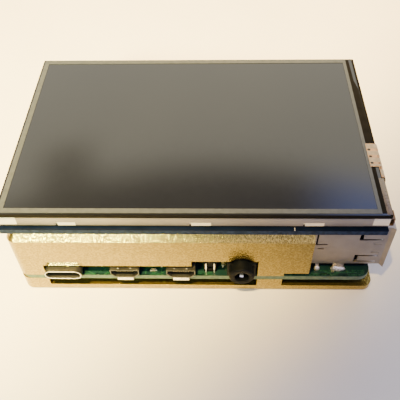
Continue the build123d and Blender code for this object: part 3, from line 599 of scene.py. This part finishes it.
def both_sides(path, thick):
    """For each point of a path in a plane, the two points half of `thick` to its left and right."""
    pairs = []
    for i, point in enumerate(path):
        before, after = path[max(i - 1, 0)], path[min(i + 1, len(path) - 1)]
        run = (Vector(after) - Vector(before)).normalized()
        normal = Vector((-run.y, run.x)) * thick / 2
        pairs.append((Vector(point) + normal, Vector(point) - normal))
    return pairs


class Shape:
    """Closed solids gathered in one mesh, in millimetres from the board's front left lower corner."""

    def __init__(self):
        self.mesh = bmesh.new()

    def block(self, x0, x1, y0, y1, z0, z1, soft=0.05):
        """A box with softened edges."""
        made = bmesh.ops.create_cube(self.mesh, size=1.0)["verts"]
        for vert in made:
            vert.co = Vector((
                x0 + (x1 - x0) * (vert.co.x + 0.5),
                y0 + (y1 - y0) * (vert.co.y + 0.5),
                z0 + (z1 - z0) * (vert.co.z + 0.5),
            ))
        edges = list({edge for vert in made for edge in vert.link_edges})
        bmesh.ops.bevel(self.mesh, geom=edges, offset=soft, segments=2, affect="EDGES", profile=0.5)

    def loops(self, rings, closed_ends=True):
        """Joins rings of points, each as long as the others, into a closed skin."""
        made = [[self.mesh.verts.new(point) for point in ring] for ring in rings]
        count = len(rings[0])
        for a, b in zip(made, made[1:]):
            for i in range(count):
                j = (i + 1) % count
                self.mesh.faces.new((a[i], a[j], b[j], b[i]))
        if closed_ends:
            self.mesh.faces.new(made[0][::-1])
            self.mesh.faces.new(made[-1])

    def dome(self, x, y, z, rx, ry, tall, lumps=0.0, sides=20, layers=6):
        """A round-topped mound on a flat foot, such as solder; lumps makes it uneven."""
        rings = []
        for layer in range(layers):
            rise = layer / layers
            out = math.cos(rise * math.pi / 2) ** 0.8
            ring = []
            for side in range(sides):
                turn = math.tau * side / sides
                wave = 1.0 + lumps * math.sin(3 * turn + 5 * rise + x) * math.sin(2 * turn + 7 * rise + y)
                ring.append(Vector((
                    x + rx * out * wave * math.cos(turn),
                    y + ry * out * wave * math.sin(turn),
                    z + tall * math.sin(rise * math.pi / 2) * (1.0 + 0.4 * lumps * math.cos(turn + x)),
                )))
            rings.append(ring)
        self.loops(rings)

    def leaf(self, path, span, thick, along="x"):
        """A strip of sheet that follows (across, up) points, where across runs along X or Y.

        The span is where its two edges lie on the other of these axes.
        """
        rings = []
        for outer, inner in both_sides(path, thick):
            corners = ((outer, span[0]), (outer, span[1]), (inner, span[1]), (inner, span[0]))
            if along == "x":
                rings.append([Vector((p.x, far, p.y)) for p, far in corners])
            else:
                rings.append([Vector((far, p.x, p.y)) for p, far in corners])
        self.loops(rings)

    def ribbon(self, path, width, z0, z1):
        """A flat track that follows a path of (x, y) points."""
        self.loops([
            [Vector((*left, z0)), Vector((*right, z0)), Vector((*right, z1)), Vector((*left, z1))]
            for left, right in both_sides(path, width)
        ])

    def ring(self, x, y, z0, z1, outer, inner, sides=12):
        """A flat washer, such as the copper round a via."""
        def circle(radius, z):
            turns = [math.tau * i / sides for i in range(sides)]
            return [Vector((x + radius * math.cos(turn), y + radius * math.sin(turn), z)) for turn in turns]
        corners = ((outer, z0), (outer, z1), (inner, z1), (inner, z0), (outer, z0))
        self.loops([circle(radius, z) for radius, z in corners], closed_ends=False)

    def make(self, name, body, slot, finish=None):
        """Turns the mesh into a piece that rides on a body and wears a finish."""
        for vert in self.mesh.verts:
            vert.co = at(*vert.co)
        bmesh.ops.remove_doubles(self.mesh, verts=self.mesh.verts, dist=1e-8)
        bmesh.ops.recalc_face_normals(self.mesh, faces=self.mesh.faces)
        data = bpy.data.meshes.new(name)
        self.mesh.to_mesh(data)
        self.mesh.free()
        data.materials.append(MATERIALS[finish or slot])
        piece = bpy.data.objects.new(name, data)
        bpy.context.scene.collection.objects.link(piece)
        data.shade_smooth()
        data.set_sharp_from_angle(angle=CREASE)
        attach(piece, body)
        return piece


# ---------------------------------------------------------------- soft edges on the CAD nodes

SOFT_EDGES = {                       # bevel width in millimetres
    "heat_sink_lid": 0.16, "base_plate": 0.16, "audio_jack_body": 0.12, "main_board": 0.05,
    "display_board": 0.06, "touch_glass": 0.06, "network_jack_insert": 0.1, "header_base": 0.1,
    "display_socket": 0.1, "aux_header_base": 0.08, "camera_socket": 0.06, "camera_latch": 0.06,
    "display_flex_socket": 0.06, "display_flex_latch": 0.06, "memory_card": 0.06, "case_screws": 0.08,
    "processor_cap": 0.06, "port_controller_chip": 0.05, "network_chip": 0.05, "memory_chip": 0.05,
}
WELD_REACH = 0.000002


def soften_edges():
    """Rounds the sharp edges of CAD nodes with modifiers; their own meshes stay as they are."""
    for name, width in SOFT_EDGES.items():
        node = NODES[name]
        weld = node.modifiers.new("weld", "WELD")
        weld.merge_threshold = WELD_REACH
        bevel = node.modifiers.new("soft_edges", "BEVEL")
        bevel.width = width * MM
        bevel.segments = 2
        bevel.limit_method = "ANGLE"
        bevel.angle_limit = CREASE
        bevel.use_clamp_overlap = True
        bevel.harden_normals = False
        shade = node.modifiers.new("shade", "WEIGHTED_NORMAL")
        shade.keep_sharp = False
        shade.weight = 80


# ---------------------------------------------------------------- solder, tracks and small parts

DATA_PORTS = ("data_port_shell_1", "data_port_shell_2")
CHEEK = 6.55                         # from a data port's middle to the outside of its side sheet


def solder_joints():
    """Solder at the feet of the data port shells, outside each side sheet."""
    joints = Shape()
    for name in DATA_PORTS:
        for side in (-1, 1):
            y = from_board(name).mid_y + side * CHEEK
            joints.dome(72.3, y + side * 0.15, TOP, 0.75, 0.62, 1.15, lumps=0.12)
            joints.dome(77.35, y + side * 0.2, TOP, 1.75, 0.7, 1.0, lumps=0.14, sides=28)
            joints.dome(76.6, y + side * 0.25, TOP, 0.8, 0.6, 1.25, lumps=0.12)
    joints.make("solder_joints", "computer", "tin_plate", "solder_and_painted_highlights")


PART_TALL = 0.42
CAP_TALL = 0.46
CAP_OUT = 0.46                       # from a part's middle to the middle of each end cap


def edge_parts():
    """Small soldered parts near the board's edges, most of them seen between the ports."""
    bodies = Shape()
    caps = Shape()
    spots = (
        (18.4, 3.4, 1), (19.8, 3.4, 1), (32.7, 1.5, 0), (34.6, 3.2, 1), (49.6, 3.4, 1),
        (67.3, 29.0, 1), (67.3, 31.0, 1), (82.0, 54.0, 0), (80.0, 54.6, 0),
    )
    for x, y, lengthwise in spots:
        half_x, half_y = (0.3, 0.5) if lengthwise else (0.5, 0.3)
        bodies.block(x - half_x, x + half_x, y - half_y, y + half_y, TOP, TOP + PART_TALL, 0.06)
        cap_x, cap_y = (0.32, 0.14) if lengthwise else (0.14, 0.32)
        for side in (-1, 1):
            dx, dy = (0.0, side * CAP_OUT) if lengthwise else (side * CAP_OUT, 0.0)
            caps.block(x + dx - cap_x, x + dx + cap_x, y + dy - cap_y, y + dy + cap_y,
                       TOP, TOP + CAP_TALL, 0.05)
            caps.dome(x + dx * 1.5, y + dy * 1.5, TOP, 0.22, 0.22, 0.22, sides=12, layers=4)
    bodies.make("edge_parts", "computer", "ceramic_parts")
    caps.make("edge_part_caps", "computer", "tin_plate", "solder_and_painted_highlights")


GREEN_TRACKS = ("computer", "green_board", "mask_over_copper")          # body, slot and finish
BLUE_TRACKS = ("touch_display", "blue_board", "blue_over_copper")
EIGHTH_TURNS = [Vector((math.cos(math.radians(a)), math.sin(math.radians(a)))) for a in range(0, 360, 45)]


def board_tracks(name, look, area, face, width, count, seed):
    """Copper under the solder mask: tracks that run straight and turn by 45 degrees, and their vias."""
    draw = random.Random(seed)
    x0, x1, y0, y1 = area
    lower, upper = face
    tracks = Shape()
    vias = Shape()
    for _ in range(count):
        corners = [Vector((draw.uniform(x0, x1), draw.uniform(y0, y1)))]
        heading = draw.randrange(0, 8, 2)
        for _ in range(draw.randint(2, 4)):
            step = corners[-1] + EIGHTH_TURNS[heading % 8] * draw.uniform(1.2, 6.0)
            step = Vector((min(max(step.x, x0), x1), min(max(step.y, y0), y1)))
            if (step - corners[-1]).length > 0.8:
                corners.append(step)
            heading += draw.choice((-1, 1))
        if len(corners) < 2:
            continue
        tracks.ribbon(corners, width, lower, upper)
        for end in (corners[0], corners[-1]):
            vias.ring(end.x, end.y, lower, upper + (upper - lower) * 0.5, width * 1.5, width * 0.7)
    tracks.make(name + "_tracks", *look)
    vias.make(name + "_vias", *look)


def all_tracks():
    """Tracks on the main board's front corner, port side and underside, and under the display board."""
    on_top = (TOP - 0.01, TOP + 0.02)
    beneath = (-0.02, 0.01)
    display_z = from_board("display_board").z0
    under_display = (display_z - 0.02, display_z + 0.01)
    board_tracks("front", GREEN_TRACKS, (66.0, 83.5, 0.4, 1.7), on_top, width=0.2, count=14, seed=3)
    board_tracks("port_side", GREEN_TRACKS, (7.5, 57.0, 0.3, 4.8), on_top, width=0.2, count=60, seed=5)
    board_tracks("under", GREEN_TRACKS, (16.5, 82.0, 2.0, 47.0), beneath, width=0.22, count=150, seed=7)
    board_tracks("display", BLUE_TRACKS, (1.5, 84.0, 1.5, 49.0), under_display, width=0.24, count=150,
                 seed=11)


# ---------------------------------------------------------------- insides of the front ports

def slot_outline(x, z, wide, tall, y, steps=7):
    """A slot with round ends, standing in the XZ plane."""
    radius = tall / 2
    points = []
    for end, start in ((1, -90), (-1, 90)):
        for step in range(steps + 1):
            turn = math.radians(start + 180 * step / steps)
            points.append(Vector((
                x + end * (wide / 2 - radius) + radius * math.cos(turn), y, z + radius * math.sin(turn),
            )))
    return points


def slot_tunnel(box, profile):
    """A skin through slots that stand at each (y, inset) of the profile, inset from the box's own outline."""
    tunnel = Shape()
    wide, tall = box.x1 - box.x0, box.z1 - box.z0
    tunnel.loops([
        slot_outline(box.mid_x, box.mid_z, wide - 2 * inset, tall - 2 * inset, y) for y, inset in profile
    ], closed_ends=False)
    return tunnel


def power_port_inside():
    """Contacts on both faces of the power port's tongue, a dark sheet round them that paints the shade inside
    the port, and a rim in a bright finish that paints the highlight on the shell's front edge.
    """
    tongue = from_board("power_port_tongue")
    contacts = Shape()
    for step in range(12):
        x = tongue.mid_x + (step - 5.5) * 0.5
        for z in (TOP + 1.95, TOP + 1.25):
            contacts.block(x - 0.13, x + 0.13, tongue.y0 + 0.25, 4.2, z - 0.03, z + 0.03, 0.01)
    contacts.make("power_port_contacts", "computer", "gold_contact")

    shell = from_board("power_port_shell")
    mouth, back = shell.y0 + 0.55, 5.7
    # a dark sheet inside the shell: painted shade, where the real port is bare metal in shade
    shade_sheet = slot_tunnel(shell, ((mouth, 0.27), (mouth, 0.42), (back, 0.42), (back, 0.27), (mouth, 0.27)))
    shade_sheet.make("power_port_painted_shade", "computer", "black_plastic", "painted_shade_and_dark_dots")
    foot, lip = shell.y0 + 0.1, shell.y0 - 0.03
    # the shell's front edge in a bright finish: painted highlight
    rim = slot_tunnel(shell, ((foot, 0.24), (lip, 0.2), (lip, 0.05), (foot, 0.01), (foot, 0.24)))
    rim.make("power_port_highlight_rim", "computer", "tin_plate", "solder_and_painted_highlights")


VIDEO_PORTS = (26.0, 39.5)           # the middles of the video ports along the front edge
VIDEO_FOOT = 2.4                     # half the width of a port at the board
VIDEO_HALF = 3.45                    # half its full width, reached at the waist
VIDEO_WAIST = 1.3
VIDEO_TALL = 2.85


def video_outline(x, y, inset):
    """The six-cornered mouth of a video port, made smaller by the inset."""
    corners = (
        (inset - VIDEO_FOOT, inset), (VIDEO_FOOT - inset, inset),
        (VIDEO_HALF - inset, VIDEO_WAIST), (VIDEO_HALF - inset, VIDEO_TALL - inset),
        (inset - VIDEO_HALF, VIDEO_TALL - inset), (inset - VIDEO_HALF, VIDEO_WAIST),
    )
    return [Vector((x + dx, y, TOP + dz)) for dx, dz in corners]


def video_port_inside():
    """Contacts under the video ports' tongues, dark sheets that paint the shade inside them, the dimples of
    each shell, and a bright plate on each shell's tab that paints the floor's reflection in it.
    """
    contacts = Shape()
    shade_sheets = Shape()
    dimples = Shape()
    tabs = Shape()
    path = bend(((-0.05, TOP + 1.72), (0.3, TOP + 1.54), (4.6, TOP + 1.54)), 0.2)
    mouth, back = 0.35, 6.1
    # profile of the dark sheets of painted shade inside each port
    shade_sheet = ((mouth, 0.22), (mouth, 0.34), (back, 0.34), (back, 0.22), (mouth, 0.22))
    for x in VIDEO_PORTS:
        for step in range(10):
            place = x + (step - 4.5) * 0.4
            contacts.leaf(path, (place - 0.1, place + 0.1), 0.06, along="y")
        shade_sheets.loops([video_outline(x, y, inset) for y, inset in shade_sheet], closed_ends=False)
        for side in (-1.55, 1.45):
            dimples.dome(x + side, 0.2, TOP + 2.83, 0.42, 0.3, 0.16, sides=14, layers=4)
        # a bright plate over each shield tab: painted reflection of the floor
        tabs.block(x - 1.9, x + 1.9, -0.62, -0.54, 0.3, TOP - 0.15, 0.03)
    contacts.make("video_port_contacts", "computer", "gold_contact")
    shade_sheets.make("video_port_painted_shade", "computer", "black_plastic", "painted_shade_and_dark_dots")
    # the dimples wear the darkened plating of painted shade
    dimples.make("video_port_dimples", "computer", "nickel", "shade_darkened_plating")
    tabs.make("video_port_tab_reflection", "computer", "tin_plate", "solder_and_painted_highlights")


def audio_jack_inside():
    """The sprung contact that rises from the floor of the plug hole."""
    x, axis = 54.0, 4.4
    spring = Shape()
    path = bend(((2.6, axis - 1.66), (0.2, axis - 1.5), (-0.7, axis - 1.0), (-1.3, axis - 1.5)), 0.5)
    spring.leaf(path, (x - 0.42, x + 0.42), 0.16, along="y")
    spring.make("audio_jack_spring", "computer", "nickel", "solder_and_painted_highlights")


# ---------------------------------------------------------------- data ports and network jack

MOUTHS = ((17.1, 11.1), (9.7, 3.7))  # ceiling and floor of a data port's upper and lower mouth


def data_port_springs():
    """Leaf springs bent into each mouth of the data ports."""
    springs = Shape()
    for name in DATA_PORTS:
        middle = from_board(name).mid_y
        for ceiling, floor_z in MOUTHS:
            for side in (-3.0, 3.0):
                for z, way in ((ceiling, -1), (floor_z, 1)):
                    path = bend(((79.5, z + way * 0.12), (83.6, z + way * 0.62), (85.9, z + way * 0.12)), 0.8)
                    springs.leaf(path, (middle + side - 0.9, middle + side + 0.9), 0.14)
    springs.make("data_port_springs", "computer", "nickel")


def network_jack_details():
    """Two lamp windows beside the catch's groove, and springs on the shell's cheeks."""
    insert = from_board("network_jack_insert")
    for name, side, finish in (("link_lamp", -1, "green_lens"), ("traffic_lamp", 1, "amber_lens")):
        lamp = Shape()
        y = insert.mid_y + side * 5.2
        lamp.block(insert.x1 - 3.0, insert.x1 + 0.08, y - 1.5, y + 1.5, 2.5, 4.4, 0.15)
        lamp.make(name, "computer", "clear_guide", finish)
    shell = from_board("network_jack_shell")
    springs = Shape()
    thick, z0, z1 = 0.2, 6.5, 9.5
    for y, way in ((shell.y0, -1), (shell.y1, 1)):
        path = bend(((81.0, y - way * 0.1), (84.0, y + way * 0.35), (85.4, y - way * 0.05)), 0.8)
        rings = []
        for x, outer in path:
            inner = outer - way * thick
            corners = ((outer, z0), (outer, z1), (inner, z1), (inner, z0))
            rings.append([Vector((x, across, z)) for across, z in corners])
        springs.loops(rings)
    springs.make("network_jack_springs", "computer", "tin_plate")


# ---------------------------------------------------------------- touch display details

def touch_strip(edge, back, film_z):
    """The black strip along the right edge, in two lengths with the tail between them."""
    strip = Shape()
    far = (
        (edge + 0.05, back - 0.2), (edge + 0.85, back - 0.2), (edge + 0.95, 46.5), (edge + 1.6, 43.0),
        (edge + 1.65, 22.7), (edge + 0.05, 22.7),
    )
    near = ((edge + 0.05, 14.8), (edge + 0.95, 14.8), (edge + 1.0, 1.2), (edge + 0.05, 1.2))
    for outline in (far, near):
        strip.loops([[Vector((x, y, z)) for x, y in outline] for z in (film_z + 0.005, film_z + 0.03)])
    strip.make("touch_edge_strip", "touch_display", "touch_edge")


def touch_tail(edge, glass_x, film_z):
    """The film that runs off the glass and down to the display board, its silver traces and bare pads."""
    bed = from_board("display_board").z1
    path = bend((
        (edge - 0.15, film_z + 0.14), (glass_x + 0.15, film_z + 0.14), (glass_x + 0.58, film_z - 0.9),
        (glass_x + 0.5, bed + 0.55), (glass_x - 0.1, bed + 0.08), (82.4, bed + 0.08),
    ), 0.7, 6)
    start = next(i for i, point in enumerate(path) if point.x > edge + 1.1)
    tail = Shape()
    tail.leaf(path, (14.9, 22.4), 0.06)
    tail.leaf(path[start:], (11.6, 14.9), 0.06)
    skin = tail.make("touch_tail_film", "touch_display", "flex_film", "tail_film")
    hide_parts("touch_tail")
    traces = Shape()
    lifted = [point + Vector((0.035, 0.03)) for point in path]
    tracks = ((21.5, 1.5, 0), (19.3, 1.3, 0), (17.0, 1.5, 0), (15.4, 0.7, 0), (13.2, 1.8, start))
    for y, wide, first in tracks:
        traces.leaf(lifted[first:], (y - wide / 2, y + wide / 2), 0.03)
    traces.make("touch_tail_traces", "touch_display", "silver_ink", "tail_silver")
    pads = Shape()
    for y in (20.4, 18.15, 16.05):
        pads.dome(edge + 0.4, y, film_z + 0.12, 0.42, 0.38, 0.12, sides=14, layers=3)
    pads.make("touch_tail_pads", "touch_display", "touch_edge", "painted_shade_and_dark_dots")


def touch_details():
    """What lies along the touch layer's right edge: the black strip, a ledge of bare glass and the tail."""
    border = from_board("touch_border")
    glass_x = from_board("touch_glass").x1
    film_z = border.z1 - 0.1
    touch_strip(border.x1, border.y1, film_z)
    ledge = Shape()
    ledge.block(border.x1 + 1.02, glass_x - 0.12, 0.9, 11.4, film_z - 0.05, film_z + 0.025, 0.02)
    ledge.make("touch_glass_ledge", "touch_display", "silver_ink", "bare_glass")
    touch_tail(border.x1, glass_x, film_z)


PIN_PITCH = 2.54


def display_details():
    """A bright nib near the display board's front edge, and solder where its socket is fixed."""
    board = from_board("display_board")
    nib = Shape()
    nib.block(64.92, 65.1, board.y0 + 0.05, board.y0 + 0.75, board.z1 - 0.05, board.z1 + 0.3, 0.04)
    nib.make("edge_nib", "touch_display", "gold_contact", "solder_and_painted_highlights")
    socket = from_board("display_socket")
    joints = Shape()
    for way in range(13):
        for row in (0, 1):
            x = socket.x0 + PIN_PITCH * (way + 0.5)
            y = socket.y0 + PIN_PITCH * (row + 0.5)
            joints.dome(x, y, board.z1, 0.72, 0.72, 0.42, lumps=0.08, sides=14, layers=4)
    joints.make("display_solder_joints", "touch_display", "tin_plate", "solder_and_painted_highlights")


# ---------------------------------------------------------------- build

make_camera()
make_world()
make_floor()
make_lights()
paint_frame()
soften_edges()
solder_joints()
edge_parts()
all_tracks()
power_port_inside()
video_port_inside()
audio_jack_inside()
data_port_springs()
network_jack_details()
touch_details()
display_details()
